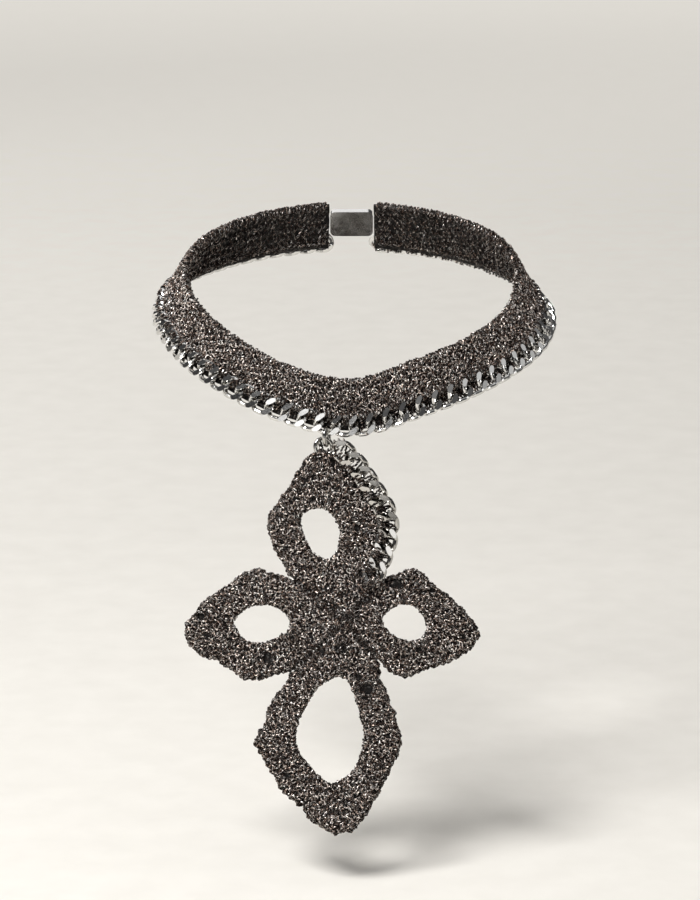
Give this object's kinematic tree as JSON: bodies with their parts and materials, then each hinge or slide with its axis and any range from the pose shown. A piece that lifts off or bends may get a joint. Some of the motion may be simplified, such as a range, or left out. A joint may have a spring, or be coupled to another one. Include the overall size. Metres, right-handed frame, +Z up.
{
  "type": "yarn choker",
  "caption": "Crocheted yarn choker with a curb chain worked into its lower edge and a crocheted petal cross hanging from jump rings.",
  "frame": {"origin": "middle of the neck that the choker goes round, level with the sides of the loop, where it is held up", "axes": "+Z up along the neck, -Y towards the viewer of the front with the cross, +X to the viewer's right"},
  "size_m": [0.1496, 0.1758, 0.1941],
  "materials": {
    "yarn": "dark crocheted yarn with a silver metallic thread",
    "steel": "polished silver-tone metal"
  },
  "bodies": {
    "root": {"choker_band": "yarn", "clasp": "steel", "edge_chain": "steel", "upper_ring": "steel", "lower_ring": "steel", "top_petal": "yarn", "left_petal": "yarn", "right_petal": "yarn", "bottom_petal": "yarn", "side_chain": "steel"}
  },
  "joints": []
}
